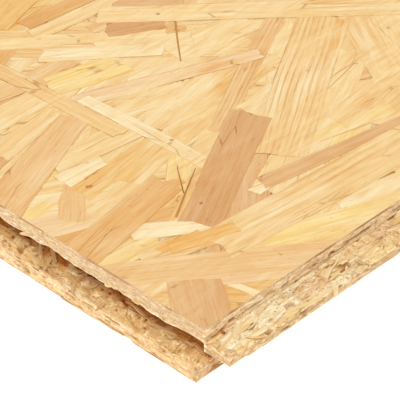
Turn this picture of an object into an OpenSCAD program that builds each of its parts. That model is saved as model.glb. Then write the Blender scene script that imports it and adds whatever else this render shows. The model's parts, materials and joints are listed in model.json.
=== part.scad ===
/* [Panel] */
// Length over all, end tongue included
length = 2400; // [1200:10:3000]
// Width over all, side tongue included
width = 600; // [300:5:1250]
// Thickness of the board
thickness = 18; // [15:0.5:25]

/* [Tongue] */
// How far the tongue stands out from the upper shoulder
tongue_reach = 8.5; // [7:0.5:12]
// Thickness of the tongue where it leaves the board
tongue_root = 6.8; // [5.5:0.1:8.5]
// Thickness of the tongue's blunt tip
tongue_tip = 2.2; // [1.5:0.1:4]
// Length of the tongue's underside that stays flat before the lead-in bevel
tongue_flat = 5; // [4.5:0.1:6]
// Small bevel on the upper edge of the tip
tip_ease = 0.4; // [0.2:0.1:0.8]

/* [Groove] */
// Thickness of the lip above the groove
upper_lip = 4.2; // [3:0.1:6]
// Clearance between tongue and groove, above and below
fit_gap = 0.2; // [0.1:0.05:0.5]
// How much deeper the groove is than the tongue is long
depth_gap = 1; // [0.5:0.1:2]
// Depth of the bevel that opens the mouth over the lower lip
mouth_depth = 4; // [2:0.1:4.4]
// Height that the same bevel takes off the lower lip
mouth_drop = 2; // [0.5:0.1:2.5]

/* [Lower shoulder] */
// How far the lower shoulder stands back, right under the tongue
shoulder_back = 1; // [0.3:0.1:2]
// How far the lower shoulder stands back at the bottom face
foot_back = 2.5; // [1:0.1:4]

/* [Hidden] */

// The laid size is what the board covers once its tongues are in the next boards' grooves.
laid_length = length - tongue_reach;
laid_width = width - tongue_reach;
west = -length / 2;
east = west + laid_length;
north = width / 2;
south = north - laid_width;

// Levels above the bottom face.
groove_ceiling = thickness - upper_lip;
tongue_top = groove_ceiling - fit_gap;
tongue_under = tongue_top - tongue_root;
groove_floor = tongue_under - fit_gap;
lip_arris = groove_floor - mouth_drop;
tip_under = tongue_top - tongue_tip;
groove_depth = tongue_reach + depth_gap;

// Cutters run past the faces that they open.
past = 2;

// Tongue section: distance out from the upper shoulder, height.
// Its root reaches back into the board, past the lower shoulder.
function tongue_section() = [
    [-foot_back, tongue_under],
    [tongue_flat, tongue_under],
    [tongue_reach, tip_under],
    [tongue_reach, tongue_top - tip_ease],
    [tongue_reach - tip_ease, tongue_top],
    [-foot_back, tongue_top],
];

// Groove section: distance out from the edge, so that the depth is negative.
mouth_slope = mouth_drop / mouth_depth;
function groove_section() = [
    [-groove_depth, groove_floor],
    [-mouth_depth, groove_floor],
    [past, lip_arris - past * mouth_slope],
    [past, groove_ceiling],
    [-groove_depth, groove_ceiling],
];

// What is taken off the lower shoulder, so that the upper one closes first.
shoulder_slope = (foot_back - shoulder_back) / tongue_under;
function undercut_section() = [
    [-foot_back - past * shoulder_slope, -past],
    [past, -past],
    [past, tongue_under],
    [-shoulder_back, tongue_under],
];

// A section run along an edge: out is +1 on an east or north edge and -1 on a south edge.
module along_x(section, at, out, from, to) {
    translate([from, 0, 0])
        rotate([90, 0, 90])
            linear_extrude(height = to - from)
                polygon([for (p = section) [at + out * p[0], p[1]]]);
}

module along_y(section, at, out, from, to) {
    translate([0, to, 0])
        rotate([90, 0, 0])
            linear_extrude(height = to - from)
                polygon([for (p = section) [at + out * p[0], p[1]]]);
}

module slab() {
    translate([west, south, 0])
        cube([laid_length, laid_width, thickness]);
}

// The grooves run the whole length of the west and north edges, up to the tongues.
module grooves() {
    along_y(groove_section(), west, -1, south - past, north + past);
    along_x(groove_section(), north, 1, west - past, east + past);
}

module undercuts() {
    along_x(undercut_section(), south, -1, west - past, east + past);
    along_y(undercut_section(), east, 1, south - past, north + past);
}

// Where a tongue ends at a grooved edge, the groove runs out under it
// and only the tongue's upper layer, as thick as its tip, is left standing.
module run_outs() {
    translate([west - past, south - tongue_reach - past, tongue_under - past])
        cube([groove_depth + past, tongue_reach + past, tip_under - tongue_under + past]);
    translate([east, north - groove_depth, tongue_under - past])
        cube([tongue_reach + past, groove_depth + past, tip_under - tongue_under + past]);
}

// The part of each tongue outside the slab; its root is added back inside by the slab itself.
module tongues() {
    difference() {
        union() {
            along_x(tongue_section(), south, -1, west, east);
            along_y(tongue_section(), east, 1, south, north);
        }
        run_outs();
        inside_grooves();
    }
}

// The grooves' room inside the slab, which the tongues' roots stay out of.
module inside_grooves() {
    intersection() {
        grooves();
        slab();
    }
}

module osb_panel() {
    color("burlywood")
        union() {
            difference() {
                slab();
                grooves();
                undercuts();
            }
            tongues();
        }
}

osb_panel();
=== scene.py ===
"""Looks of an 18 mm tongue and groove OSB panel: pressed face strands, milled edges and torn fibres."""

import json
import math

import bpy
import numpy as np
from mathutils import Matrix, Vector


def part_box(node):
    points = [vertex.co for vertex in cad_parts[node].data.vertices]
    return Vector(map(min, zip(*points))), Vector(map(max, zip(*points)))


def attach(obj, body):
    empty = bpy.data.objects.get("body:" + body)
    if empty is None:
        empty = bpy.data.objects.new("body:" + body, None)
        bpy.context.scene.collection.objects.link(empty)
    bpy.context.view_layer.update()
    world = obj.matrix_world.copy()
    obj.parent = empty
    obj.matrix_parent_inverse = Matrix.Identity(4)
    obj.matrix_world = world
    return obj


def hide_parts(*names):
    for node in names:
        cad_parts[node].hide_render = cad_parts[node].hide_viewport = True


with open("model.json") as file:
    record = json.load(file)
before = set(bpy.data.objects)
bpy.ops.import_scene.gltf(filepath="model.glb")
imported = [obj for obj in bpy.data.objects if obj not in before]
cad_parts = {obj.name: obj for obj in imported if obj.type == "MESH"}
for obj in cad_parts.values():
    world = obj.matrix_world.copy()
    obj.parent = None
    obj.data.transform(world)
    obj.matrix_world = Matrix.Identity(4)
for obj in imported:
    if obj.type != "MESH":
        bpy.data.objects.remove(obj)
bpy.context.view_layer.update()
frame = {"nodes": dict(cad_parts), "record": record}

MM = 0.001
PANEL = "osb_panel"
GROOVE = {o["name"]: o["box_m"] for o in frame["record"]["physics"]["openings"]}

# The panel's own planes, from the frame: the laid outline is inside the tongues.
panel_low, panel_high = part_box(PANEL)
WEST, NORTH, TOP, BOTTOM = panel_low.x, panel_high.y, panel_high.z, panel_low.z
EAST = GROOVE["side_groove_space"][1][0] + 0.5 * MM
SOUTH = GROOVE["end_groove_space"][0][1] - 0.5 * MM
THICKNESS = TOP - BOTTOM

# How deep the core lies below the faces, and how fast the strands go down towards it, level by level.
FACE_DEPTH = 0.50 * MM
LEVELS_DOWN = 14.0
RIM_WIDTH = 0.17  # how wide the sloped rim of a strand is, in millimetres
RIM_DROP = 0.014 * MM  # how far that rim slopes down
FOOT_IN_CORE = 0.15 * MM  # how far a strand's plate runs on into the core


# ---------------------------------------------------------------- colours

LIGHT_GAIN = 1.35  # how much brighter than its own colour a level, fully lit face comes out


def tone(red, green, blue):
    """A finish as it looks under the studio light, 0 to 255, made the base colour that gives it."""
    def linear(c):
        c /= 255
        return c / 12.92 if c <= 0.04045 else ((c + 0.055) / 1.055) ** 2.4
    return tuple(linear(c) / LIGHT_GAIN for c in (red, green, blue))


TONES = {
    "white": tone(255, 238, 194),
    "cream": tone(250, 220, 160),
    "lemon": tone(252, 223, 145),
    "straw": tone(246, 208, 143),
    "golden": tone(243, 198, 120),
    "amber": tone(244, 188, 100),
    "honey": tone(236, 183, 110),
    "pink": tone(245, 209, 160),
    "tan": tone(241, 197, 136),
    "rust": tone(230, 181, 124),
    "brown": tone(222, 169, 110),
    "slit": tone(200, 140, 68),
}

# ---------------------------------------------------------------- face strands

# Strands listed round the near corner, topmost first. Each runs from one end to the other:
# along the length and across the width from the corner of the face, in millimetres, then its
# width at each end, its tone, and how strongly its growth rings show.
CORNER_STRANDS = [
    ((78, 114.5), (140, 57), 8.0, 9.0, "cream", 0.15),
    ((77, 82.5), (91, 98.3), 0.35, 0.6, "slit", 0.0),
    ((112, 91), (146, 57), 6.5, 7.5, "pink", 0.1),
    ((85, 116), (99, 103), 6.5, 6.0, "rust", 0.1),
    ((74, 107.5), (88, 99.5), 7.0, 7.0, "brown", 0.1),
    ((71, 111), (81, 109.5), 4.0, 3.5, "tan", 0.1),
    ((17, 27.4), (34, 21.6), 4.8, 4.2, "amber", 0.5, 1.9),
    ((14, 28.6), (27, 26.4), 2.6, 2.2, "amber", 0.3),
    ((25, 19.8), (104, 13.6), 13.0, 13.5, "straw", 0.65, 2.4),
    ((47.3, 28.2), (51.5, 28.4), 3.8, 3.8, "white", 0.0),
    ((26.6, 35.0), (44.6, 45.8), 0.45, 0.25, "slit", 0.0),
    ((34.9, 40.4), (42.4, 50.2), 0.3, 0.25, "slit", 0.0),
    ((51, 29.6), (100, 21.5), 5.4, 3.6, "rust", 0.1),
    ((27.6, 28.4), (72.3, 52.3), 10.4, 11.9, "brown", 0.12),
    ((48, 43), (46.6, 88.5), 4.8, 4.4, "white", 0.2),
    ((42.2, 70), (40.0, 119), 5.0, 5.2, "straw", 0.2),
    ((-6, 33.6), (52, -9), 9.0, 10.5, "tan", 0.2),
    ((-4.4, -7.4), (12.0, 15.0), 16.0, 12.7, "rust", 0.1),
    ((-4, 24.6), (37, -4.5), 5.0, 5.4, "pink", 0.12),
    ((-5, 40.0), (35, 46.6), 10.4, 9.2, "honey", 0.12),
    ((31, 46.6), (38.5, 44.5), 4.5, 2.4, "honey", 0.1),
    ((-6, 66.5), (40, 84.0), 12.5, 8.2, "tan", 0.12),
    ((44, 89), (95, 69.5), 6.4, 4.6, "pink", 0.12),
    ((63, 34.5), (121, 70.0), 14.6, 14.6, "straw", 1.0, 1.55),
    ((60, 52.5), (111, 79.0), 5.6, 5.4, "tan", 0.9, 1.3),
    ((15, 38.2), (31.5, 26.2), 6.4, 5.6, "white", 0.1),
    ((9, 29.5), (37, 21.0), 8.2, 7.4, "golden", 0.35),
    ((-3, 34.6), (17, 31.5), 5.2, 6.4, "lemon", 0.1),
    ((16.5, 9.5), (18.8, -2), 2.2, 2.4, "white", 0.0),
    ((18.4, 8.8), (33, -1.5), 4.0, 6.0, "cream", 0.2),
    ((24, 14), (44, -3.0), 4.5, 6.0, "straw", 0.2),
    ((18.6, 6.7), (26.4, 5.0), 0.5, 0.4, "slit", 0.0),
    ((22.8, 3.9), (25.4, 2.9), 1.1, 0.6, "slit", 0.0),
    ((29, 14.0), (76, -5.0), 11.5, 12.0, "lemon", 0.25),
    ((58, 9.5), (96, 1.5), 6.5, 7.5, "white", 0.2),
    ((28, 54.8), (92, 66.8), 8.6, 8.0, "golden", 0.35),
    ((50, 66.5), (92, 73.5), 9.0, 8.0, "straw", 0.15),
    ((50, 49.0), (74, 60.5), 6.5, 5.0, "straw", 0.1),
    ((53, 111), (78, 90.0), 6.2, 6.2, "white", 0.1),
    ((58, 117), (84, 94.5), 5.0, 5.0, "cream", 0.35),
    ((66, 103), (88, 88), 8.0, 7.0, "cream", 0.1),
    ((58, 120.2), (90, 117.6), 5.6, 6.0, "cream", 0.4),
    ((60, 125.6), (84, 123.5), 5.0, 5.4, "honey", 0.25),
    ((52, 131), (76, 138), 9.0, 9.0, "golden", 0.2),
    ((48, 124), (62, 112.5), 5.0, 5.4, "cream", 0.1),
    ((36, 116), (52, 122.5), 7.4, 7.0, "honey", 0.15),
    ((108, 34), (126, 64), 8.5, 9.0, "straw", 0.3),
    ((118, 36), (134, 62), 8.0, 8.0, "cream", 0.25),
    ((94, 47.5), (112, 52.5), 7.0, 7.6, "cream", 0.1),
    ((84, 33.5), (112, 37.5), 7.5, 7.5, "straw", 0.15),
    ((75, 33.0), (100, 27.5), 4.0, 5.6, "lemon", 0.2),
    ((92, 24.5), (122, 30), 8.0, 8.0, "straw", 0.2),
    ((17.5, 65.8), (31, 65.0), 6.4, 4.0, "white", 0.2),
    ((20, 72.5), (46, 69.5), 7.5, 9.0, "cream", 0.2),
    ((17, 58.8), (46, 61.0), 7.0, 6.5, "golden", 0.2),
    ((8, 52.8), (18.5, 62.5), 7.0, 6.0, "tan", 0.2),
    ((10, 57.8), (19.6, 57.0), 2.6, 2.2, "white", 0.2),
    ((17.8, 61.2), (20.0, 60.6), 1.2, 0.8, "slit", 0.0),
    ((20.0, 59.9), (21.4, 59.1), 0.9, 0.8, "slit", 0.0),
    ((-4, 57.5), (13, 50.0), 9.0, 8.0, "pink", 0.1),
    ((-3, 60.5), (9, 62.0), 5.0, 4.0, "lemon", 0.1),
    ((12, 49.5), (34, 54.0), 6.0, 5.0, "straw", 0.15),
    ((33, 41.5), (46, 52.5), 6.0, 6.4, "lemon", 0.3),
    ((24, 33.6), (52, 49.0), 2.6, 2.0, "golden", 0.8),
    ((50, 78), (70, 75.5), 9.0, 9.5, "straw", 0.1),
    ((64, 76.4), (69, 76.2), 4.0, 3.0, "white", 0.0),
    ((70.6, 75.6), (73.6, 78.2), 0.7, 0.6, "slit", 0.0),
    ((78, 86), (104, 83.5), 10.0, 10.0, "cream", 0.1),
    ((88, 92), (97, 86.5), 6.0, 5.5, "straw", 0.15),
    ((80, 93.5), (90, 95.5), 6.0, 5.0, "honey", 0.2),
    ((74, 96.5), (79.5, 92.2), 3.4, 2.8, "golden", 0.2),
    ((98, 98), (106, 91), 5.4, 5.4, "golden", 0.2),
    ((96, 66), (112, 73), 8.5, 6.0, "cream", 0.1),
    ((82, 66), (100, 63.6), 6.0, 6.0, "straw", 0.1),
    ((72, 53.0), (86, 55.5), 8.0, 6.0, "straw", 0.15),
    ((44, 99), (66, 93), 9.0, 9.0, "lemon", 0.15),
    ((42, 103), (58, 104), 9.0, 8.0, "tan", 0.15),
    ((20, 96), (40, 96.5), 10.0, 10.0, "cream", 0.15),
    ((14, 85.5), (38, 90), 7.0, 7.5, "straw", 0.2),
    ((8, 82.0), (18, 84.0), 3.4, 2.0, "rust", 0.2),
    ((5, 77.6), (16, 73.6), 4.0, 4.0, "white", 0.1),
    ((26, 107), (40, 104.5), 6.0, 6.4, "tan", 0.2),
    ((98, 57), (128, 62), 12.0, 12.0, "straw", 0.1),
    ((60, 82.5), (82, 80.0), 9.0, 9.0, "straw", 0.1),
]

# What the rest of the face is strewn with: share of strands, tone and the span of its ring strength.
STRAND_MIX = [
    (0.08, "white", 0.0, 0.3),
    (0.26, "cream", 0.0, 0.5),
    (0.10, "lemon", 0.0, 0.4),
    (0.28, "straw", 0.1, 1.0),
    (0.10, "golden", 0.1, 0.6),
    (0.06, "honey", 0.0, 0.4),
    (0.05, "pink", 0.0, 0.3),
    (0.04, "tan", 0.0, 0.4),
    (0.02, "rust", 0.0, 0.2),
    (0.01, "brown", 0.0, 0.2),
]


# How much less than others the strands of some tones vary within themselves.
EVENNESS = {"brown": 0.85, "rust": 0.7, "slit": 1.0, "honey": 0.7, "tan": 0.6, "amber": 0.5}


class Strand:
    """One flake of wood in the face: where it lies, its outline and its finish."""

    def __init__(self, start, end, start_width, end_width, tone_name, rings, rng,
                 period=None, ragged=1.0, fine=True):
        start, end = np.array(start, float), np.array(end, float)
        self.along = (end - start) / np.linalg.norm(end - start)
        self.across = np.array([-self.along[1], self.along[0]])
        self.start = start
        self.middle = (start + end) / 2
        self.tone = TONES[tone_name]
        self.rings = rings
        self.evenness = EVENNESS.get(tone_name, 0.0)
        self.seed = rng.random()
        self.period = rng.uniform(1.5, 3.0) if period is None else period
        self.rim = rng.random() ** 1.4 * {"slit": 0.25, "amber": 0.2}.get(tone_name, 1.0)
        self.offset = rng.uniform(-40, 40, 2)
        self.outline = self.cut(np.linalg.norm(end - start), start_width, end_width, ragged, fine, rng)
        self.level = 0

    def cut(self, length, start_width, end_width, raggedness, fine, rng):
        """The outline: long sides that waver a little, and ends that broke or were cut askew."""
        width = max(start_width, end_width)
        fray = min(0.16 * width, 0.07 * length, 2.0) * raggedness
        skew = rng.uniform(-0.7, 0.7, 2) * raggedness
        bow = rng.normal(0, 0.012 * length) * raggedness
        stations = np.array([0.0, 0.22, 0.5, 0.78, 1.0] if fine else [0.0, 0.55, 1.0])
        half = (start_width + (end_width - start_width) * stations) / 2
        waver = min(0.05 * width, 0.8) * raggedness
        sag = 4 * bow * stations * (1 - stations)
        left = np.stack([stations * length, sag + half + rng.normal(0, waver, len(half))], 1)
        right = np.stack([stations * length, sag - half + rng.normal(0, waver, len(half))], 1)
        for side in (left, right):
            side[0, 0] += skew[0] * side[0, 1] + rng.normal(0, fray)
            side[-1, 0] += skew[1] * side[-1, 1] + rng.normal(0, fray)
        def ragged(a, b):
            steps = np.array([0.3, 0.62] if fine else [0.45])[:, None]
            points = a + (b - a) * (steps + rng.uniform(-0.1, 0.1, steps.shape))
            points[:, 0] += rng.normal(0, fray, len(steps))
            return points
        local = np.concatenate([
            right, ragged(right[-1], left[-1]), left[::-1], ragged(left[0], right[0])])
        return self.start + local[:, :1] * self.along + local[:, 1:] * self.across

    def grain(self, points):
        """Where points of the face lie along and across the strand, in millimetres."""
        local = points - self.start
        return np.stack([local @ self.along, local @ self.across], -1) + self.offset


def clip(outline, low, high):
    """The part of an outline that lies inside a rectangle."""
    points = outline
    for axis, limit, sign in ((0, low[0], 1), (0, high[0], -1), (1, low[1], 1), (1, high[1], -1)):
        if len(points) < 3:
            return points[:0]
        inside = sign * (points[:, axis] - limit) >= 0
        if inside.all():
            continue
        kept = []
        for k in range(len(points)):
            a, b = points[k - 1], points[k]
            if inside[k - 1] != inside[k]:
                kept.append(a + (b - a) * (limit - a[axis]) / (b[axis] - a[axis]))
            if inside[k]:
                kept.append(b)
        points = np.array(kept) if kept else points[:0]
    return points


def tidy_outline(points, least=0.12):
    """Drops points that lie almost on their neighbour, so that no edge is too short to bevel."""
    kept = []
    for point in points:
        if not kept or np.hypot(*(point - kept[-1])) > least:
            kept.append(point)
    while len(kept) > 3 and np.hypot(*(kept[0] - kept[-1])) <= least:
        kept.pop()
    return np.array(kept)


def inset(points, by):
    """An outline drawn in by a small even amount."""
    before = points - np.roll(points, 1, 0)
    after = np.roll(points, -1, 0) - points
    before /= np.linalg.norm(before, axis=1)[:, None] + 1e-9
    after /= np.linalg.norm(after, axis=1)[:, None] + 1e-9
    normal = np.stack([-(before + after)[:, 1], (before + after)[:, 0]], 1)
    normal /= np.linalg.norm(normal, axis=1)[:, None] + 1e-9
    return points + normal * by


class Coverage:
    """A fine grid over a face that remembers how deep the strands lie and what is still bare."""

    CELL = 1.5

    def __init__(self, size):
        self.shape = (int(size[0] / self.CELL), int(size[1] / self.CELL))
        self.depth = np.full(self.shape, -1, np.int16)

    def cells(self, outline):
        """The grid cells whose centres lie inside an outline."""
        low = np.maximum(np.floor(outline.min(0) / self.CELL).astype(int), 0)
        high = np.minimum(np.ceil(outline.max(0) / self.CELL).astype(int), self.shape)
        if (high <= low).any():
            return (np.zeros(0, int),) * 2
        i, j = np.meshgrid(np.arange(low[0], high[0]), np.arange(low[1], high[1]), indexing="ij")
        x, y = (i + 0.5) * self.CELL, (j + 0.5) * self.CELL
        inside = np.zeros(i.shape, bool)
        for k in range(len(outline)):
            (x0, y0), (x1, y1) = outline[k - 1], outline[k]
            if y0 == y1:
                continue
            crosses = (y0 > y) != (y1 > y)
            inside ^= crosses & (x < (x1 - x0) * (y - y0) / (y1 - y0) + x0)
        return i[inside], j[inside]

    def lay(self, strand, least_bare=0):
        """Puts a strand under all that it meets, if enough of it would still be seen."""
        i, j = self.cells(strand.outline)
        bare = (self.depth[i, j] < 0).sum()
        if bare < least_bare:
            return False
        strand.level = int(self.depth[i, j].max(initial=-1)) + 1
        self.depth[i, j] = strand.level
        return True


def random_strand(centre, fine, rng):
    """A strand of the usual mill run: long and narrow, mostly along the panel."""
    length = np.clip(rng.normal(72, 26), 22, 135)
    width = np.clip(rng.lognormal(2.35, 0.42), 3.5, 26)
    angle = rng.normal(0, 0.52) if rng.random() < 0.86 else rng.uniform(-1.57, 1.57)
    pick = rng.choice(len(STRAND_MIX), p=[m[0] for m in STRAND_MIX])
    _, tone_name, low, high = STRAND_MIX[pick]
    run = np.array([math.cos(angle), math.sin(angle)]) * length / 2
    return Strand(centre - run, centre + run, width * rng.uniform(0.35, 1),
                  width * rng.uniform(0.35, 1), tone_name, rng.uniform(low, high), rng, fine=fine)


def strew(cover, first, last, by_hand, fine, seed):
    """Covers some columns of a face with strands, from the top down, till hardly any of it is bare."""
    rng = np.random.default_rng(seed)
    strands = [Strand(*row[:6], rng, *row[6:], ragged=0.4) for row in by_hand]
    for strand in strands:
        cover.lay(strand)
    batch = round(240 * TILES * (last - first) / cover.shape[0])
    least_bare = 90
    while least_bare > 2:
        bare = np.argwhere(cover.depth[first:last] < 0) + (first, 0)
        if len(bare) < 0.002 * cover.depth[first:last].size:
            break
        laid = 0
        picks = rng.permutation(len(bare))[:batch]
        for cell in bare[picks]:
            if cover.depth[tuple(cell)] >= 0:
                continue
            strand = random_strand((cell + 0.5) * cover.CELL + rng.normal(0, 3, 2), fine, rng)
            if cover.lay(strand, least_bare):
                strands.append(strand)
                laid += 1
        if laid < batch / 6:
            least_bare *= 0.5
    return strands


class Heap:
    """Collects many small closed shapes into one mesh, with the finish of each."""

    def __init__(self):
        self.points, self.faces, self.uv = [], [], []
        self.tones, self.makes, self.rims = [], [], []
        self.count = 0

    def add(self, points, faces, grain, tone_rgb, make, rims):
        self.points.append(points)
        self.uv.append(grain)
        self.faces += [[v + self.count for v in f] for f in faces]
        self.tones.append(np.tile((*tone_rgb, 1.0), (len(points), 1)))
        self.makes.append(np.tile(make, (len(points), 1)))
        self.rims += rims
        self.count += len(points)

    def mesh(self, name):
        mesh = bpy.data.meshes.new(name)
        mesh.from_pydata(np.concatenate(self.points).tolist(), [], self.faces)
        grain = np.concatenate(self.uv).astype(np.float32)
        corner = np.zeros(len(mesh.loops), np.int32)
        mesh.loops.foreach_get("vertex_index", corner)
        layer = mesh.uv_layers.new(name="grain")
        layer.data.foreach_set("uv", grain[corner].ravel())
        for label, rows in (("tone", self.tones), ("make", self.makes)):
            attribute = mesh.attributes.new(label, "FLOAT_COLOR", "POINT")
            attribute.data.foreach_set("color", np.concatenate(rows).astype(np.float32).ravel())
        rim = mesh.attributes.new("rim", "FLOAT", "FACE")
        rim.data.foreach_set("value", np.array(self.rims, np.float32))
        mesh.update()
        return mesh


CUT_RIM = 2.0  # marks a rim that was sawn off at the panel's edge


def add_strand(heap, strand, low, high, origin, surface, up):
    """Adds a strand as a thin closed plate with a narrow, darker rim."""
    back = 0.02 + 0.006 * strand.level
    outline = tidy_outline(clip(strand.outline, low + back, high - back))
    if len(outline) < 3:
        return
    area = 0.5 * np.sum(outline[:, 0] * np.roll(outline[:, 1], -1)
                        - outline[:, 1] * np.roll(outline[:, 0], -1))
    if area < 0:
        outline = outline[::-1]
        area = -area
    if area < 0.15:
        return
    n = len(outline)
    flat = inset(outline, RIM_WIDTH)
    rings = (flat, outline, outline)
    z = surface - (FACE_DEPTH - 0.05 * MM) * strand.level / (strand.level + LEVELS_DOWN)
    heights = (z, z - RIM_DROP, surface - FACE_DEPTH - FOOT_IN_CORE)
    points = np.concatenate([
        np.column_stack([(ring * MM + origin), np.full(n, h)]) for ring, h in zip(rings, heights)])
    points[:, 2] = points[:, 2] if up > 0 else THICKNESS - points[:, 2]
    turn = (lambda f: f) if up > 0 else (lambda f: f[::-1])
    faces = [turn(list(range(n)))]
    for ring in (0, 1):
        for k in range(n):
            m = (k + 1) % n
            a, b = ring * n + k, ring * n + m
            faces.append(turn([a, a + n, b + n, b]))
    faces.append(turn(list(range(3 * n - 1, 2 * n - 1, -1))))
    grain = strand.grain(np.concatenate(rings)) * 0.01
    make = (strand.rings, strand.period * 0.1, strand.seed, strand.evenness)
    on_cut = [False] * n
    for axis in (0, 1):
        for place in (low[axis] + back, high[axis] - back):
            near = np.abs(outline[:, axis] - place) < 1e-6
            on_cut = on_cut | (near & np.roll(near, -1))
    sides = np.where(on_cut, CUT_RIM, strand.rim).tolist()
    heap.add(points, faces, grain, strand.tone, make, [0.0] + sides + sides + [strand.rim])


def link(obj):
    bpy.context.scene.collection.objects.link(obj)
    return obj


def dress(obj, material, stands_for=PANEL):
    """Every piece is part of the one panel: it rides on its body and takes its finish."""
    obj.data.materials.clear()
    obj.data.materials.append(material)
    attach(obj, "root")
    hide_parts(stands_for)
    return obj


# ---------------------------------------------------------------- materials

class Nodes:
    """A short way to write a node tree down."""

    def __init__(self, tree):
        self.tree = tree

    def add(self, kind, inputs=(), **settings):
        node = self.tree.nodes.new(kind)
        for key, value in settings.items():
            setattr(node, key, value)
        for key, value in dict(inputs).items():
            socket = node.inputs[key]
            if isinstance(value, bpy.types.NodeSocket):
                self.tree.links.new(value, socket)
            else:
                socket.default_value = value
        return node

    def math(self, operation, a, b=0.0, c=0.0):
        return self.add("ShaderNodeMath", {0: a, 1: b, 2: c}, operation=operation).outputs[0]

    def between(self, value, low, high, out_low=0.0, out_high=1.0):
        return self.add("ShaderNodeMapRange", {0: value, 1: low, 2: high, 3: out_low, 4: out_high},
                        interpolation_type="SMOOTHSTEP").outputs[0]

    def stretch(self, vector, scale):
        return self.add("ShaderNodeVectorMath", {0: vector, 1: scale}, operation="MULTIPLY").outputs[0]

    def noise(self, vector, scale, detail=2.0, rough=0.5):
        return self.add("ShaderNodeTexNoise", {
            "Vector": vector, "Scale": scale, "Detail": detail, "Roughness": rough}).outputs[0]

    def mix(self, factor, a, b, blend="MIX"):
        node = self.add("ShaderNodeMix", {0: factor, 6: a, 7: b}, data_type="RGBA", blend_type=blend)
        return node.outputs[2]


def group(name, inputs, outputs):
    tree = bpy.data.node_groups.new(name, "ShaderNodeTree")
    for label, kind, value in inputs:
        socket = tree.interface.new_socket(label, in_out="INPUT", socket_type=kind)
        if value is not None:
            socket.default_value = value
    for label, kind in outputs:
        tree.interface.new_socket(label, in_out="OUTPUT", socket_type=kind)
    return tree


def make_grain_group():
    """Wood grain on a strand: fibres, growth rings, flecks and resin, from its own grain coordinates."""
    tree = group("strand grain", [
        ("Grain", "NodeSocketVector", None), ("Tone", "NodeSocketColor", None),
        ("Rings", "NodeSocketFloat", 0.3), ("Period", "NodeSocketFloat", 0.25),
        ("Seed", "NodeSocketFloat", 0.5), ("Uneven", "NodeSocketFloat", 1.0)],
        [("Colour", "NodeSocketColor"), ("Height", "NodeSocketFloat"), ("Roughness", "NodeSocketFloat")])
    n = Nodes(tree)
    given = n.add("NodeGroupInput").outputs
    grain = n.add("ShaderNodeVectorMath", {0: given["Grain"], 1: (100.0, 100.0, 0.0)},
                  operation="MULTIPLY").outputs[0]
    seeded = n.add("ShaderNodeVectorMath", {
        0: grain, 1: n.add("ShaderNodeCombineXYZ", {2: n.math("MULTIPLY", given["Seed"], 90.0)}).outputs[0]},
        operation="ADD").outputs[0]
    fibre = n.noise(n.stretch(seeded, (0.12, 3.4, 1.0)), 1.0, 3.0, 0.65)
    streak = n.noise(n.stretch(seeded, (0.022, 0.7, 1.0)), 1.0, 3.0, 0.55)
    sway = n.noise(n.stretch(seeded, (0.02, 0.05, 1.0)), 1.0, 1.0, 0.5)
    across = n.add("ShaderNodeSeparateXYZ", {0: grain}).outputs[1]
    bent = n.math("ADD", across, n.math("MULTIPLY", n.math("SUBTRACT", sway, 0.5), 5.0))
    phase = n.math("FRACT", n.math("DIVIDE", bent, n.math("MULTIPLY", given["Period"], 10.0)))
    late = n.math("MULTIPLY", n.between(phase, 0.45, 0.85), n.between(phase, 1.0, 0.90))
    broken = n.between(n.noise(n.stretch(seeded, (0.07, 0.5, 1.0)), 1.0, 2.0, 0.5), 0.32, 0.58, 0.25, 1.0)
    ring = n.math("MULTIPLY", n.math("MULTIPLY", late, broken), given["Rings"])
    fleck = n.between(n.noise(n.stretch(seeded, (0.45, 2.2, 1.0)), 1.0, 2.0, 0.6), 0.66, 0.74)
    patch = n.noise(n.stretch(seeded, (0.045, 0.11, 1.0)), 1.0, 3.0, 0.6)
    pale = n.noise(n.stretch(seeded, (0.03, 0.16, 3.0)), 1.0, 2.0, 0.6)
    wide = n.math("MULTIPLY", n.between(pale, 0.47, 0.68, 0.0, 0.65), given["Uneven"])
    colour = n.mix(wide, given["Tone"], (*TONES["white"], 1))
    colour = n.mix(n.between(patch, 0.50, 0.78, 0.0, 0.75), colour, (0.94, 0.73, 0.42, 1), "MULTIPLY")
    colour = n.mix(n.between(streak, 0.42, 0.70, 0.0, 0.60), colour, (0.92, 0.76, 0.54, 1), "MULTIPLY")
    colour = n.mix(n.between(fibre, 0.40, 0.68, 0.0, 0.55), colour, (0.88, 0.74, 0.56, 1), "MULTIPLY")
    shine = n.between(given["Uneven"], 0, 1, 0.3, 1.0)
    glint = n.math("MULTIPLY", n.between(fibre, 0.44, 0.28, 0.0, 0.30), shine)
    colour = n.mix(glint, colour, (0.95, 0.80, 0.50, 1))
    split = n.add("ShaderNodeTexVoronoi", {"Vector": n.stretch(seeded, (0.05, 0.28, 1.0)), "Scale": 1.0},
                  feature="DISTANCE_TO_EDGE").outputs["Distance"]
    where = n.between(n.noise(n.stretch(seeded, (0.03, 0.12, 1.0)), 1.0, 2.0, 0.6), 0.54, 0.61)
    split = n.math("MULTIPLY", n.between(split, 0.03, 0.008), where)
    colour = n.mix(n.math("MULTIPLY", split, 0.85), colour, (0.62, 0.40, 0.20, 1), "MULTIPLY")
    colour = n.mix(n.math("MULTIPLY", ring, 0.80), colour, (0.80, 0.57, 0.32, 1), "MULTIPLY")
    colour = n.mix(n.math("MULTIPLY", fleck, 0.65), colour, (0.66, 0.44, 0.24, 1), "MULTIPLY")
    height = n.math("SUBTRACT", n.math("MULTIPLY", fibre, 0.6), n.math("MULTIPLY", ring, 0.25))
    rough = n.between(fibre, 0.3, 0.8, 0.42, 0.62)
    n.add("NodeGroupOutput", {0: colour, 1: height, 2: rough})
    return tree


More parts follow.
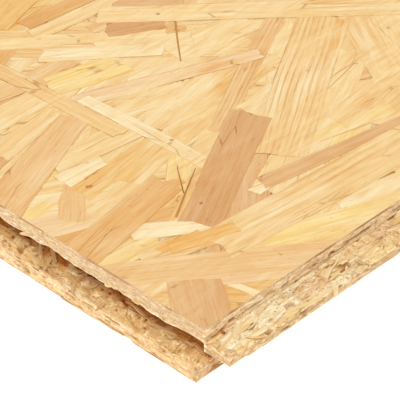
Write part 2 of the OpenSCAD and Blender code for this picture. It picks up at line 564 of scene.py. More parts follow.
def strand_material(name, grain_group, rim_shade=0.8):
    material = bpy.data.materials.new(name)
    material.use_nodes = True
    tree = material.node_tree
    n = Nodes(tree)
    shader = tree.nodes["Principled BSDF"]
    grain = n.add("ShaderNodeUVMap", uv_map="grain").outputs[0]
    colour = n.add("ShaderNodeAttribute", attribute_name="tone").outputs["Color"]
    made = n.add("ShaderNodeAttribute", attribute_name="make")
    make = n.add("ShaderNodeSeparateColor", {0: made.outputs["Color"]})
    uneven = n.math("SUBTRACT", 1.0, made.outputs["Alpha"])
    rim = n.add("ShaderNodeAttribute", attribute_name="rim").outputs["Fac"]
    wood = n.add("ShaderNodeGroup", node_tree=grain_group, inputs={})
    for socket, value in (("Grain", grain), ("Tone", colour), ("Rings", make.outputs[0]),
                          ("Period", make.outputs[1]), ("Seed", make.outputs[2]), ("Uneven", uneven)):
        tree.links.new(value, wood.inputs[socket])
    place = n.add("ShaderNodeTexCoord").outputs["Object"]
    haze = n.noise(place, 34.0, 3.0, 0.6)
    wisp = n.noise(n.stretch(place, (40.0, 190.0, 1.0)), 1.0, 3.0, 0.6)
    veil = n.math("ADD", n.between(haze, 0.45, 0.64, 0.0, 0.55), n.between(wisp, 0.48, 0.66, 0.0, 0.42))
    veil = n.math("MULTIPLY", veil, uneven)
    warm = n.mix(n.between(n.noise(place, 15.0, 2.0, 0.5), 0.4, 0.6),
                 (*TONES["cream"], 1), (*TONES["straw"], 1))
    hair = n.noise(n.stretch(place, (75.0, 620.0, 1.0)), 1.0, 3.0, 0.65)
    warm = n.mix(n.between(hair, 0.46, 0.64, 0.0, 0.75), warm, (0.86, 0.68, 0.44, 1), "MULTIPLY")
    warm = n.mix(n.between(hair, 0.46, 0.32, 0.0, 0.55), warm, (*TONES["white"], 1))
    finish = n.mix(veil, wood.outputs["Colour"], warm)
    stain = n.noise(n.stretch(place, (1.0, 1.3, 1.0)), 22.0, 4.0, 0.65)
    finish = n.mix(n.between(stain, 0.55, 0.72, 0.0, 0.60), finish, (0.95, 0.70, 0.36, 1), "MULTIPLY")
    speck = n.between(n.noise(place, 700.0, 2.0, 0.6), 0.68, 0.76)
    finish = n.mix(n.math("MULTIPLY", speck, 0.35), finish, (0.62, 0.42, 0.26, 1), "MULTIPLY")
    dots = n.add("ShaderNodeTexVoronoi", {"Vector": place, "Scale": 95.0, "Randomness": 1.0})
    dot = dots.outputs["Distance"]
    dot = n.math("MULTIPLY", n.between(dot, 0.075, 0.035), n.between(n.noise(place, 50.0), 0.5, 0.56))
    finish = n.mix(n.math("MULTIPLY", dot, 0.8), finish, (0.55, 0.33, 0.16, 1), "MULTIPLY")
    sawn = n.mix(n.between(n.noise(place, 1500.0, 2.0, 0.6), 0.4, 0.6), (*tone(216, 190, 153), 1),
                 (*tone(196, 166, 126), 1))
    finish = n.mix(n.between(rim, 1.2, 1.8, 0.0, 0.85), finish, sawn)
    dashes = n.between(n.noise(place, 85.0, 2.0, 0.6), 0.44, 0.58, 0.0, 1.0)
    shade = n.math("MULTIPLY", n.math("MINIMUM", rim, 1.0), dashes)
    finish = n.mix(n.math("MULTIPLY", shade, rim_shade), finish, (0.54, 0.31, 0.12, 1), "MULTIPLY")
    tree.links.new(finish, shader.inputs["Base Color"])
    tree.links.new(wood.outputs["Roughness"], shader.inputs["Roughness"])
    bump = n.add("ShaderNodeBump", {"Strength": 0.35, "Distance": 0.0002, "Height": wood.outputs["Height"]})
    tree.links.new(bump.outputs[0], shader.inputs["Normal"])
    shader.inputs["Specular IOR Level"].default_value = 0.35
    return material


# ---------------------------------------------------------------- milled edges

NEAR = 165 * MM  # how far along its two edges the near corner is worked out finely


def scatter(cells, salt):
    """A fixed random number, 0 to 1, for each whole-numbered cell."""
    cells = cells.astype(np.int64)
    h = cells[..., 0] * 73856093 ^ cells[..., 1] * 19349663 ^ cells[..., 2] * 83492791 ^ salt * 2654435761
    h = ((h ^ (h >> 13)) * 1274126177) & 0xFFFFFFFF
    h = ((h ^ (h >> 15)) * 2246822519) & 0xFFFFFFFF
    return ((h ^ (h >> 16)) & 0xFFFFF) / 0xFFFFF


def rolling(points, size, salt):
    """Smooth noise, -1 to 1, with lumps of the given size in millimetres."""
    q = points / np.array(size)
    base = np.floor(q)
    f = q - base
    f = f * f * (3 - 2 * f)
    total = np.zeros(len(points))
    for k in range(8):
        corner = np.array([k & 1, k >> 1 & 1, k >> 2])
        weight = np.prod(np.where(corner, f, 1 - f), axis=1)
        total += weight * scatter(base + corner, salt)
    return total * 2 - 1


def flakes(points, size, salt):
    """Which flake a point is in, and how near the flake's border is: 0 on it, 1 well inside."""
    q = points / np.asarray(size)
    base = np.floor(q)
    first = np.full(len(points), 9.0)
    second = np.full(len(points), 9.0)
    owner = np.zeros(base.shape)
    for k in range(27):
        cell = base + np.array([k % 3 - 1, k // 3 % 3 - 1, k // 9 - 1])
        seat = np.stack([scatter(cell, salt + 1), scatter(cell, salt + 2), scatter(cell, salt + 3)], 1)
        gap = np.linalg.norm(cell + 0.15 + 0.7 * seat - q, axis=1)
        nearer = gap < first
        second = np.where(nearer, first, np.minimum(second, gap))
        owner[nearer] = cell[nearer]
        first = np.where(nearer, gap, first)
    return owner, np.clip((second - first) * 2.5, 0, 1)


def step(value, low, high):
    """0 below low, 1 above high, smooth between."""
    t = np.clip((value - low) / (high - low), 0, 1)
    return t * t * (3 - 2 * t)


def band(value, low, high, soft):
    """1 between low and high, falling to 0 over a soft margin."""
    return step(value, low - soft, low + soft) * (1 - step(value, high - soft, high + soft))


class Work:
    """Edit mode on one object, with everything else deselected."""

    def __init__(self, obj, mode="VERT"):
        self.obj = obj
        self.mode = mode

    def __enter__(self):
        bpy.ops.object.select_all(action="DESELECT")
        self.obj.select_set(True)
        bpy.context.view_layer.objects.active = self.obj
        bpy.ops.object.mode_set(mode="EDIT")
        bpy.ops.mesh.select_mode(type=self.mode)
        bpy.ops.mesh.select_all(action="SELECT")

    def __exit__(self, *_):
        bpy.ops.object.mode_set(mode="OBJECT")


def cut_from_panel(name, planes):
    """A closed block of the panel, cut out of it by planes whose outer side is taken off."""
    block = link(bpy.data.objects.new(name, panel.data.copy()))
    block.data.name = name
    with Work(block):
        bpy.ops.mesh.remove_doubles(threshold=1e-6)
        bpy.ops.mesh.dissolve_limited(angle_limit=math.radians(1))
        for place, outward in planes:
            bpy.ops.mesh.select_all(action="SELECT")
            bpy.ops.mesh.bisect(plane_co=place, plane_no=outward, use_fill=True, clear_outer=True)
    return block


def remesh(obj, voxel):
    bpy.ops.object.select_all(action="DESELECT")
    obj.select_set(True)
    bpy.context.view_layer.objects.active = obj
    modifier = obj.modifiers.new("even mesh", "REMESH")
    modifier.mode = "VOXEL"
    modifier.voxel_size = voxel
    bpy.ops.object.modifier_apply(modifier=modifier.name)


def read_points(mesh):
    points = np.zeros(len(mesh.vertices) * 3)
    normals = np.zeros(len(mesh.vertices) * 3)
    mesh.vertices.foreach_get("co", points)
    mesh.vertices.foreach_get("normal", normals)
    return points.reshape(-1, 3), normals.reshape(-1, 3)


EDGE_TONES = np.array([TONES[k] for k in ("white", "cream", "white", "cream", "straw", "pink", "cream")])


def wear_edges(obj):
    """Tears and chips the milled edges: flake by flake, deepest in the grooves, and tones them."""
    mesh = obj.data
    points, normals = read_points(mesh)
    p = points / MM
    from_west, from_south, z = p[:, 0] - WEST / MM, p[:, 1] - SOUTH / MM, p[:, 2]
    from_east, from_north = EAST / MM - p[:, 0], NORTH / MM - p[:, 1]
    level_face = step(np.abs(normals[:, 2]), 0.5, 0.8)
    up_face = step(normals[:, 2], 0.5, 0.8)

    deep_west, deep_north = from_west, from_north
    in_groove = np.maximum(band(deep_west, 0.7, 11, 0.4) * step(from_south, -0.4, 0.2),
                           band(deep_north, 0.7, 11, 0.4) * step(from_east, -0.4, 0.2))
    in_groove *= band(z, 4.9, 14.1, 0.3)
    floor = in_groove * up_face
    tongue = np.maximum(step(-from_south, 0.2, 0.7), step(-from_east, 0.2, 0.7)) * band(z, 6.6, 14.0, 0.3)
    tongue_top = tongue * up_face
    shoulder = np.maximum(band(from_south, -0.5, 0.5, 0.2), band(from_east, -0.5, 0.5, 0.2))
    shoulder = (1 - level_face) * shoulder * step(z, 13.4, 14.0)
    undercut = np.maximum(band(from_south, 0.4, 3.2, 0.3), band(from_east, 0.4, 3.2, 0.3))
    undercut = (1 - level_face) * undercut * (1 - step(z, 6.4, 7.0))
    outer = (1 - level_face) * np.maximum(band(from_west, -1, 0.4, 0.2), band(from_north, -1, 0.4, 0.2))
    lip = outer * step(z, 13.4, 14.2)
    low_lip = outer * (1 - step(z, 4.5, 5.2))
    hidden = np.maximum(step(z, 17.2, 17.45), 1 - step(z, 0.55, 0.8))

    # Flakes lie flat, long and thin; a coarser set makes the big steps, a finer one the lines.
    west_side = (np.minimum(from_west, from_east) < np.minimum(from_south, from_north)) & (from_south > 0)
    warp = np.stack([rolling(p, (16, 16, 9), 1), rolling(p, (16, 16, 9), 2), rolling(p, (22, 13, 12), 3)], 1)
    big_size = np.where(west_side[:, None], (4.5, 10, 1.5), (12, 4.5, 1.5))
    big, big_rim = flakes(p + warp * (3.5, 3.0, 0.7), big_size, 10)
    thin, thin_rim = flakes(p + warp * (2.0, 2.0, 0.5), (16, 7, 0.62), 20)
    big_draw, thin_draw = scatter(big, 31), scatter(thin, 32)
    lump = rolling(p, (2.2, 2.2, 1.3), 4)
    fuzz = rolling(p, (0.8, 0.8, 0.5), 5)
    pit = step(rolling(p, (1.5, 1.2, 0.8), 6), 0.42, 0.72)
    gash = step(rolling(p, (3.2, 3.2, 0.5), 11), 0.36, 0.66)
    gash *= step(np.maximum(from_west, from_south), 1.5, 3.5)

    torn = in_groove * (1 - 0.55 * up_face)
    inward = torn * (1.3 * (big_draw - 0.35) + 0.45 * lump + 0.18 * fuzz + 1.2 * pit)
    inward += tongue_top * (0.42 * (big_draw - 0.2) + 0.08 * lump + 0.05 * fuzz + 0.4 * pit * (lump > 0.2))
    side = tongue * (1 - level_face)
    inward += side * (0.35 * (thin_draw - 0.4) + 0.12 * lump + 0.10 * fuzz + 0.5 * gash)
    inward += shoulder * (0.16 * (thin_draw - 0.3) + 0.05 * fuzz)
    inward += shoulder * band(z, 13.9, 15.9, 0.3) * (0.30 * (thin_draw - 0.3) + 0.9 * gash + 0.1 * lump)
    inward += undercut * (0.45 * (thin_draw - 0.4) + 0.7 * gash + 0.15 * lump)
    inward += lip * (0.05 * (thin_draw - 0.3) + 0.04 * fuzz)
    inward += low_lip * (0.18 * (thin_draw - 0.3) + 0.40 * gash + 0.05 * fuzz)
    stub = np.maximum(step(9.5 - from_west, -0.5, 0.5) * step(-from_south, -0.2, 0.4),
                      step(9.5 - from_north, -0.5, 0.5) * step(-from_east, -0.2, 0.4))
    inward *= (1 - hidden) * (1 - 0.7 * stub)
    tear = np.clip(inward, -0.6, 2.2)
    moved = p - normals * tear[:, None]

    # Rims of the lips and the tongue's tip do not run straight.
    run = np.stack([p[:, 0], p[:, 1], np.zeros(len(p))], 1)
    wave = 0.6 * rolling(run, (9, 9, 9), 7) + 0.5 * rolling(run, (3.1, 3.1, 3.1), 8)
    wave += 0.25 * rolling(run, (1.4, 1.4, 1.4), 12)
    wave = (0.75 * wave - 0.28) * step(np.maximum(from_west, from_south), 1, 10)
    rim = band(z, 12.4, 15.2, 0.8) * np.maximum(band(deep_west, -1, 3.5, 1.0), band(deep_north, -1, 3.5, 1.0))
    moved[:, 2] += rim * wave
    tip = np.maximum(step(-from_south, 6.8, 8.3), step(-from_east, 6.8, 8.3)) * (1 - step(z, 12.6, 13.4))
    moved[:, 2] -= tip * 0.45 * wave
    low_rim = band(z, 3.6, 6.9, 0.6) * np.maximum(band(deep_west, -1, 5, 1.2), band(deep_north, -1, 5, 1.2))
    moved[:, 2] += low_rim * 0.35 * wave

    # A tone for each flake; deeper in the groove browner and warmer, as painted shade and warm bounce light;
    # cracks darker, and hollows and deep tears darker as painted shade.
    pick = (scatter(np.where(level_face[:, None] > 0.5, big, thin), 33) * len(EDGE_TONES)).astype(int)
    tones = EDGE_TONES[np.clip(pick, 0, len(EDGE_TONES) - 1)]
    # Sawn tones for each face of the profile; the shoulder's is lighter than the lip's, painted light on that
    # side.
    for weight, cut in ((lip * 0.9, (212, 182, 140)), (low_lip * 0.5, (222, 186, 136)),
                        (shoulder * 0.75, (240, 210, 166)), (side * 0.8, (198, 164, 120)),
                        (undercut * 0.75, (204, 172, 130))):
        tones = tones + (np.array(tone(*cut)) - tones) * np.clip(weight, 0, 1)[:, None]
    # Painted bounce light: every surface in the groove is tinted warmer.
    painted_groove_warmth = (np.maximum(floor, in_groove) * 0.6)[:, None]
    tones = tones * (1 - painted_groove_warmth * (1 - np.array((1.0, 0.92, 0.80))))
    # Painted shade: the groove's walls and ceiling, and its floor from about 2 to 5 mm in, turn brown.
    brown = np.array(tone(224, 150, 66)) * (0.75 + 0.45 * big_draw[:, None])
    depth = np.minimum(deep_west, deep_north)
    inside = in_groove * (1 - floor) * 0.95 + floor * step(depth + 1.2 * lump, 2.2, 5.2) * 0.9
    inside = np.clip(inside, 0, 1)[:, None]
    tones = tones * (1 - inside) + brown * inside
    rim_near = np.where(level_face > 0.5, big_rim, thin_rim)
    crack = (1 - step(rim_near, 0.03, 0.16)) * (0.25 + 0.75 * step(rolling(p, (5, 5, 3), 9), -0.2, 0.5))
    crack *= 1 - 0.75 * lip
    squiggle = 1 - step(np.abs(rolling(p + 0.8 * warp, (2.8, 2.0, 1.2), 13)), 0.02, 0.10)
    squiggle *= step(rolling(p, (4.0, 4.0, 2.5), 14), -0.1, 0.2)
    # Dark cracks and squiggles in the wood, and painted shade in the hollows: deep tears, pits and gashes.
    dark = np.clip((0.6 + 0.3 * tongue_top) * crack + 0.55 * step(tear, 0.35, 1.5)
                   + 0.6 * pit * (tear > 0.25) + 0.7 * squiggle * np.maximum(floor, tongue_top)
                   + 0.65 * gash * (side + undercut + low_lip + shoulder * band(z, 13.6, 15.9, 0.3))
                   + 0.35 * inside[:, 0] * pit, 0, 1)
    # Painted highlight: flakes that stand proud of the surface are whitened.
    outward = step(-tear, 0.02, 0.3)
    raised_flake_highlight = outward[:, None] * 0.5
    tones = tones * (1 - raised_flake_highlight) + np.array(TONES["white"]) * raised_flake_highlight
    # The core's skin, seen in the gaps between strands, takes a darker golden brown: wood tone darkened as
    # painted shade in the gaps.
    gap_shade_skin = (hidden * level_face)[:, None]
    tones = tones * (1 - gap_shade_skin) + np.array(tone(214, 160, 96)) * gap_shade_skin
    dark *= 1 - gap_shade_skin[:, 0]
    # Painted highlight: a whitened band along the lower rim of the upper lip.
    painted_rim_highlight = (band(z + 0.5 * wave, 13.0, 13.95, 0.25) * outer * (0.4 + 0.6 * (thin_draw > 0.4)))[:, None] * 0.8
    tones = tones * (1 - painted_rim_highlight) + np.array(TONES["white"]) * painted_rim_highlight

    mesh.vertices.foreach_set("co", (moved * MM).ravel())
    attribute = mesh.attributes.new("tone", "FLOAT_COLOR", "POINT")
    attribute.data.foreach_set("color", np.column_stack([tones, np.ones(len(p))]).astype(np.float32).ravel())
    turned = np.where(level_face > 0.5, scatter(big, 34), scatter(thin, 34)) < np.where(west_side, 0.5, 0.1)
    for label, values in (("dark", dark), ("turned", turned * 1.0)):
        attribute = mesh.attributes.new(label, "FLOAT", "POINT")
        attribute.data.foreach_set("value", values.astype(np.float32))
    mesh.update()


def edge_material():
    material = bpy.data.materials.new("milled edge")
    material.use_nodes = True
    tree = material.node_tree
    n = Nodes(tree)
    shader = tree.nodes["Principled BSDF"]
    colour = n.add("ShaderNodeAttribute", attribute_name="tone").outputs["Color"]
    dark = n.add("ShaderNodeAttribute", attribute_name="dark").outputs["Fac"]
    place = n.add("ShaderNodeTexCoord").outputs["Object"]
    turned = n.add("ShaderNodeAttribute", attribute_name="turned").outputs["Fac"]
    lines = n.noise(n.stretch(place, (120.0, 120.0, 1900.0)), 1.0, 3.0, 0.6)
    bend = n.add("ShaderNodeTexNoise", {"Vector": place, "Scale": 160.0, "Detail": 1.0}).outputs["Color"]
    bent = n.add("ShaderNodeVectorMath", {0: bend, 1: (0.004, 0.004, 0.002), 2: place},
                 operation="MULTIPLY_ADD").outputs[0]
    along = n.noise(n.stretch(bent, (300.0, 1300.0, 1500.0)), 1.0, 4.0, 0.7)
    across = n.noise(n.stretch(bent, (1100.0, 350.0, 1500.0)), 1.0, 4.0, 0.7)
    fibres = n.add("ShaderNodeMix", {0: turned, 2: along, 3: across}, data_type="FLOAT").outputs[0]
    pores = n.noise(n.stretch(place, (1500.0, 1700.0, 2300.0)), 1.0, 1.0, 0.5)
    finish = n.mix(n.between(lines, 0.45, 0.68, 0.0, 0.50), colour, (0.78, 0.62, 0.46, 1), "MULTIPLY")
    finish = n.mix(n.between(fibres, 0.44, 0.64, 0.0, 0.65), finish, (0.74, 0.52, 0.31, 1), "MULTIPLY")
    finish = n.mix(n.between(fibres, 0.46, 0.30, 0.0, 0.40), finish, (1.0, 0.93, 0.78, 1), "MIX")
    finish = n.mix(n.between(pores, 0.62, 0.72, 0.0, 0.75), finish, (0.42, 0.29, 0.19, 1), "MULTIPLY")
    # Darkens the cracks, and paints shade into the hollows and deep tears.
    finish = n.mix(dark, finish, (0.48, 0.29, 0.14, 1), "MULTIPLY")
    tree.links.new(finish, shader.inputs["Base Color"])
    tree.links.new(n.between(fibres, 0.3, 0.7, 0.6, 0.8), shader.inputs["Roughness"])
    height = n.math("SUBTRACT", n.math("ADD", fibres, lines), pores)
    bump = n.add("ShaderNodeBump", {"Strength": 0.5, "Distance": 0.0002, "Height": height})
    tree.links.new(bump.outputs[0], shader.inputs["Normal"])
    shader.inputs["Specular IOR Level"].default_value = 0.2
    return material


def smooth(obj, angle=40):
    bpy.ops.object.select_all(action="DESELECT")
    obj.select_set(True)
    bpy.context.view_layer.objects.active = obj
    bpy.ops.object.shade_smooth_by_angle(angle=math.radians(angle))


def merge_flat(obj, axis, place, margin=1.2 * MM):
    """Makes one face of the small ones on a flat cut that lies against another piece."""
    mesh = obj.data
    with Work(obj, "FACE"):
        bpy.ops.mesh.select_all(action="DESELECT")
    middles = np.zeros(len(mesh.polygons) * 3)
    mesh.polygons.foreach_get("center", middles)
    middles = middles.reshape(-1, 3)
    on_cut = np.abs(middles[:, axis] - place) < 0.02 * MM
    low, high = middles[on_cut].min(0), middles[on_cut].max(0)
    for k in range(3):
        if k != axis:
            on_cut &= (middles[:, k] > low[k] + margin) & (middles[:, k] < high[k] - margin)
    mesh.polygons.foreach_set("select", on_cut)
    bpy.ops.object.mode_set(mode="EDIT")
    bpy.ops.mesh.delete(type="FACE")
    bpy.ops.mesh.select_mode(type="EDGE")
    bpy.ops.mesh.select_non_manifold(extend=False)
    bpy.ops.mesh.edge_face_add()
    # A small face that was left standing alone in the opening is taken away.
    bpy.ops.mesh.select_all(action="DESELECT")
    bpy.ops.mesh.select_non_manifold(extend=False)
    bpy.ops.mesh.delete(type="EDGE")
    bpy.ops.object.mode_set(mode="OBJECT")


CORE_TOP = TOP - FACE_DEPTH
CORE_BOTTOM = BOTTOM + FACE_DEPTH
LAP = 0.6 * MM  # how far neighbouring edge blocks run into each other
EDGE_DEPTH = 12 * MM  # how far the worked edge blocks reach into the board
NEAR_VOXEL, FAR_VOXEL = 0.37, 0.6  # how fine the corner blocks are, in millimetres


INNER_WEST, INNER_EAST = WEST + EDGE_DEPTH, EAST - EDGE_DEPTH
INNER_SOUTH, INNER_NORTH = SOUTH + EDGE_DEPTH, NORTH - EDGE_DEPTH
NEAR_EAST, NEAR_NORTH = WEST + NEAR, SOUTH + NEAR


def block_between(name, x=(None, None), y=(None, None)):
    """A block of the core, between the face strands, cut off at the given places."""
    planes = [((0, 0, CORE_TOP), (0, 0, 1)), ((0, 0, CORE_BOTTOM), (0, 0, -1))]
    for axis, limits in enumerate((x, y)):
        for limit, sign in zip(limits, (-1, 1)):
            if limit is not None:
                outward = [0, 0, 0]
                outward[axis] = sign
                place = [0, 0, 0]
                place[axis] = limit
                planes.append((place, outward))
    return cut_from_panel(name, planes)


def finish_block(block, material):
    wear_edges(block)
    smooth(block)
    dress(block, material)


def make_corner_blocks(material):
    """The near corner's two edges and the three far corners: an even, fine mesh, torn and chipped."""
    for name, x, y, voxel, flat in (
            ("near_groove_edge", (None, INNER_WEST + LAP), (None, NEAR_NORTH + LAP), NEAR_VOXEL,
             (0, INNER_WEST + LAP)),
            ("near_tongue_edge", (INNER_WEST, NEAR_EAST + LAP), (None, INNER_SOUTH), NEAR_VOXEL,
             (1, INNER_SOUTH)),
            ("south_east_corner", (INNER_EAST - LAP, None), (None, INNER_SOUTH + LAP), FAR_VOXEL, None),
            ("north_east_corner", (INNER_EAST - LAP, None), (INNER_NORTH - LAP, None), FAR_VOXEL, None),
            ("north_west_corner", (None, INNER_WEST + LAP), (INNER_NORTH - LAP, None), FAR_VOXEL, None)):
        block = block_between(name, x, y)
        remesh(block, voxel * MM)
        wear_edges(block)
        if flat:
            for axis, place in ((2, CORE_TOP), (2, CORE_BOTTOM), flat):
                merge_flat(block, axis, place)
        smooth(block)
        dress(block, material)


def make_long_edges(material):
    """The rest of the edges in lengths: the section is cut into bands, then the run into short steps."""
    for name, run, low, high, inner, outer, parts in (
            ("west_edge", 1, NEAR_NORTH, INNER_NORTH, INNER_WEST, -1, 1),
            ("south_edge", 0, NEAR_EAST, INNER_EAST, INNER_SOUTH, -1, 4),
            ("east_edge", 1, INNER_SOUTH, INNER_NORTH, INNER_EAST, 1, 1),
            ("north_edge", 0, INNER_WEST, INNER_EAST, INNER_NORTH, 1, 4)):
        for part in range(parts):
            limits = [(None, inner) if outer < 0 else (inner, None)] * 2
            limits[run] = tuple(low + (high - low) * k / parts for k in (part, part + 1))
            block = block_between(f"{name}_{part + 1}", *limits)
            length = limits[run][1] - limits[run][0]
            across = np.eye(3)[1 - run]
            with Work(block):
                for z in np.arange(1.2, 17, 0.9):
                    bpy.ops.mesh.select_all(action="SELECT")
                    bpy.ops.mesh.bisect(plane_co=(0, 0, z * MM), plane_no=(0, 0, 1))
                for depth in np.arange(-8.0, 10.5, 1.1):
                    bpy.ops.mesh.select_all(action="SELECT")
                    edge = (WEST, EAST, SOUTH, NORTH)[2 * (1 - run) + (outer > 0)]
                    bpy.ops.mesh.bisect(plane_co=across * (edge - outer * depth * MM), plane_no=across)
                bpy.ops.mesh.select_all(action="DESELECT")
            mesh = block.data
            ends = np.zeros(len(mesh.edges) * 2, int)
            mesh.edges.foreach_get("vertices", ends)
            points, _ = read_points(mesh)
            span = np.abs(np.diff(points[ends.reshape(-1, 2)], axis=1))[:, 0, run]
            with Work(block, "EDGE"):
                bpy.ops.mesh.select_all(action="DESELECT")
            mesh.edges.foreach_set("select", span > 0.9 * length)
            bpy.ops.object.mode_set(mode="EDIT")
            steps = max(int(length / (5.0 * MM)), 2)
            bpy.ops.mesh.subdivide(number_cuts=steps)
            bpy.ops.object.mode_set(mode="OBJECT")
            finish_block(block, material)


def make_core(material):
    """The hidden middle of the board, in the same lengths as its long edges."""
    for part in range(4):
        ends = tuple(INNER_WEST + (INNER_EAST - INNER_WEST) * k / 4 for k in (part, part + 1))
        block = block_between(f"core_{part + 1}", ends, (INNER_SOUTH, INNER_NORTH))
        wear_edges(block)
        dress(block, material)


# ---------------------------------------------------------------- loose chips

def add_chip(heap, middle, heading, pitch, length, width, curl, roll, tone_name, rng):
    """A thin torn splinter: a bent ribbon of wood with ragged, tapered ends."""
    steps = 6
    run = np.linspace(-0.5, 0.5, steps + 1)
    bend = curl * run
    line = np.stack([np.sin(bend) / curl, (1 - np.cos(bend)) / curl], 1) * length if abs(curl) > 0.05 \
        else np.stack([run * length, run * 0], 1)
    along = np.array([math.cos(heading) * math.cos(pitch), math.sin(heading) * math.cos(pitch),
                      math.sin(pitch)])
    side = np.array([-math.sin(heading), math.cos(heading), 0.0])
    lift = np.cross(along, side)
    side, lift = (side * math.cos(roll) + lift * math.sin(roll),
                  lift * math.cos(roll) - side * math.sin(roll))
    taper = np.clip(1 - (np.abs(run) * 2) ** 4 * rng.uniform(0.3, 0.9, steps + 1), 0.15, 1)
    half = width / 2 * taper * rng.uniform(0.85, 1.1, steps + 1)
    thick = 0.11 * np.where(np.abs(run) > 0.45, 0.4, 1.0)
    spine = middle + line[:, :1] * along + line[:, 1:] * lift
    rings = [spine + s * half[:, None] * side + t * thick[:, None] * lift
             for s, t in ((-1, -1), (1, -1), (1, 1), (-1, 1))]
    points = np.stack(rings, 1).reshape(-1, 3)
    faces = [[3, 2, 1, 0], [4 * steps, 4 * steps + 1, 4 * steps + 2, 4 * steps + 3]]
    for k in range(steps):
        for c in range(4):
            d = (c + 1) % 4
            faces.append([4 * k + c, 4 * k + d, 4 * k + 4 + d, 4 * k + 4 + c])
    across = np.tile([-1, 1, 1, -1], steps + 1) * np.repeat(half, 4)
    grain = np.stack([np.repeat(run * length, 4), across], 1) * 0.01 + rng.uniform(-0.4, 0.4, 2)
    # Painted shade: each chip's sides and underside take the darker rim dashes, its top none.
    heap.add(points * MM, faces, grain, TONES[tone_name], (0.3, 0.12, rng.random(), 0.5),
             [1.0, 1.0] + [0.5, 1.0, 0.0, 1.0] * steps)


def make_chips(material):
    """Splinters that the cutters tore up: thick in the near corner's grooves and on its tongue."""
    rng = np.random.default_rng(41)
    west, south, east, north = (v / MM for v in (WEST, SOUTH, EAST, NORTH))
    near = NEAR / MM
    plan = (
        # name, count, run from, run to, edge, finest first
        ("near_groove_chips", 230, 2, near, "west"),
        ("near_tongue_chips", 120, 1, near, "south"),
        ("west_chips", 60, near, north - south, "west"),
        ("south_chips", 170, near, east - west, "south"),
        ("east_chips", 60, 2, north - south - 12, "east"),
        ("north_chips", 240, 2, east - west, "north"),
    )
    for name, count, first, last, edge in plan:
        heap = Heap()
        for _ in range(count):
            run = rng.uniform(first, last)
            grooved = edge in ("west", "north")
            if grooved:
                spot = rng.choice(4, p=(0.42, 0.16, 0.32, 0.10))
                # back of the groove, its ceiling, the lower lip, the rim of the upper lip
                depth, z = ((rng.uniform(6.5, 9.8), rng.uniform(7.2, 13.4)), (rng.uniform(1.5, 8), 13.6),
                            (rng.uniform(0.8, 8), 0.0), (rng.uniform(0.1, 1.0), 13.75))[spot]
                if spot == 2:
                    depth = rng.uniform(0.8, 5)
                    z = (6.6 if depth > 4 else 4.6 + depth / 2) + rng.uniform(0.0, 0.25)
                length = rng.uniform(2.5, 9) if spot != 3 else rng.uniform(2, 5)
                width = rng.uniform(0.5, 1.1) if spot == 2 else rng.uniform(0.5, 1.8)
                pitch = rng.normal(0, (0.55, 0.15, 0.10, 0.1)[spot])
                roll = rng.normal(0, (0.9, 0.3, 0.15, 0.4)[spot])
                # Chips at the back and ceiling of the groove get tan and brown tones: painted shade of the
                # groove's depths.
                torn, lip = ("tan", "brown", "slit", "rust"), ("white", "cream", "white", "cream")
                tone_name = rng.choice((torn, torn, ("cream", "cream", "straw", "pink"), lip)[spot])
                turn = rng.normal(0, 0.5)
                bow = rng.normal(0, 0.5)
            else:
                depth = -rng.uniform(0.8, 7.8)
                curly = rng.random() < 0.12
                z = 13.5 + (0.15 if curly else rng.uniform(-0.10, 0.03))
                length = rng.uniform(2, 6) if curly else rng.uniform(3, 11)
                width = rng.uniform(0.4, 0.9) if curly else rng.uniform(0.6, 1.8)
                bow = rng.normal(0, 0.8) if curly else rng.normal(0, 0.06)
                pitch, roll = rng.normal(0, 0.02), rng.normal(0, 0.05)
                tone_name = rng.choice(("white", "cream", "white", "cream", "straw"))
                turn = rng.normal(0, 0.9 if curly else 0.3)
                run = max(run, first + length / 2)
            if edge in ("west", "east"):
                x = west + depth if edge == "west" else east - depth
                middle, heading = np.array([x, south + run, z]), math.pi / 2 + turn
            else:
                y = north - depth if edge == "north" else south + depth
                middle, heading = np.array([west + run, y, z]), turn
            add_chip(heap, middle, heading, pitch, length, width, bow, roll, tone_name, rng)
        mesh = heap.mesh(name)
        dress(link(bpy.data.objects.new(name, mesh)), material)


# ---------------------------------------------------------------- studio

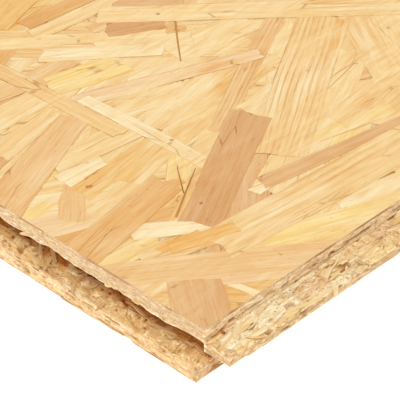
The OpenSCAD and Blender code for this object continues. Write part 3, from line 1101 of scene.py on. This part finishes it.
def make_studio():
    """A pale floor, soft light from above and all round, and the camera over the near corner."""
    scene = bpy.context.scene
    scene.view_settings.view_transform = "Standard"
    bpy.ops.mesh.primitive_plane_add(size=30, location=(0, 0, BOTTOM))
    floor = bpy.context.object
    floor.name = "floor"
    paint = bpy.data.materials.new("pale floor")
    paint.use_nodes = True
    shader = paint.node_tree.nodes["Principled BSDF"]
    shader.inputs["Base Color"].default_value = (0.93, 0.93, 0.93, 1)
    shader.inputs["Roughness"].default_value = 0.9
    shader.inputs["Specular IOR Level"].default_value = 0.1
    shader.inputs["Emission Color"].default_value = (1, 1, 1, 1)
    shader.inputs["Emission Strength"].default_value = 0.85
    floor.data.materials.append(paint)

    world = bpy.data.worlds.new("studio")
    world.use_nodes = True
    world.node_tree.nodes["Background"].inputs[0].default_value = (1, 1, 1, 1)
    world.node_tree.nodes["Background"].inputs[1].default_value = 0.95
    scene.world = world

    def softbox(name, direction, width, strength):
        light = bpy.data.lights.new(name, "SUN")
        light.energy = strength
        light.angle = math.radians(width)
        lamp = link(bpy.data.objects.new(name, light))
        lamp.rotation_mode = "QUATERNION"
        lamp.rotation_quaternion = Vector(direction).to_track_quat("Z", "Y")
    softbox("key light", (-0.55, -0.15, 1.0), 28, 1.15)
    softbox("fill light", (0.45, -0.9, 0.6), 60, 0.55)
    softbox("low light", (-1.0, -0.35, 0.22), 40, 0.45)

    azimuth, elevation = math.radians(-46.1), math.radians(36.6)
    distance, aside, above = 0.5835, -0.0009, 0.0300  # metres from the near corner of the top face
    back = Vector((math.sin(azimuth) * math.cos(elevation), -math.cos(azimuth) * math.cos(elevation),
                   math.sin(elevation)))
    right = Vector((math.cos(azimuth), math.sin(azimuth), 0))
    up = back.cross(right)
    lens = bpy.data.cameras.new("camera")
    lens.sensor_width = 36
    lens.lens = 227
    lens.clip_start, lens.clip_end = 0.05, 20
    camera = link(bpy.data.objects.new("camera", lens))
    near_corner = Vector((WEST, SOUTH, TOP))
    camera.location = near_corner + back * distance + right * aside + up * above
    camera.rotation_mode = "QUATERNION"
    camera.rotation_quaternion = (-back).to_track_quat("-Z", "Y")
    scene.camera = camera


# ---------------------------------------------------------------- making

TILES = 8  # lengths that each face is made in
FOOT_BACK = 2.5  # how far the bottom face ends short of the top one along its tongues, in millimetres


def make_faces(material):
    """Both faces, each in tiles that share one pattern of strands."""
    origin = np.array([WEST, SOUTH])
    top_size = np.array([EAST - WEST, NORTH - SOUTH]) / MM
    for side, up, by_hand, seed in (("top", 1, CORNER_STRANDS, 11), ("bottom", -1, [], 23)):
        low = np.array([0.0, 0.0]) if up > 0 else np.array([0.0, FOOT_BACK])
        high = top_size if up > 0 else top_size - np.array([FOOT_BACK, 0.0])
        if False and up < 0:
            continue
        cover = Coverage(top_size)
        columns, near = cover.shape[0], cover.shape[0] // TILES
        tiles = [strew(cover, 0, near, by_hand, up > 0, seed)] + [[] for _ in range(TILES - 1)]
        for strand in strew(cover, near, columns, [], False, seed + 1):
            place = int(strand.middle[0] / cover.CELL / near)
            tiles[min(max(place, 1), TILES - 1)].append(strand)
        for tile, strands in enumerate(tiles):
            if not strands:
                continue
            heap = Heap()
            for strand in strands:
                add_strand(heap, strand, low, high, origin, TOP, up)
            mesh = heap.mesh(f"{side}_strands_{tile + 1}")
            piece = link(bpy.data.objects.new(mesh.name, mesh))
            dress(piece, material)


grain_group = make_grain_group()
strand_finish = strand_material("pressed strands", grain_group)

edge_finish = edge_material()
panel = frame["nodes"][PANEL]
panel.data.materials.clear()
panel.data.materials.append(edge_finish)

make_faces(strand_finish)
make_corner_blocks(edge_finish)
make_long_edges(edge_finish)
make_core(edge_finish)
make_chips(strand_finish)
make_studio()
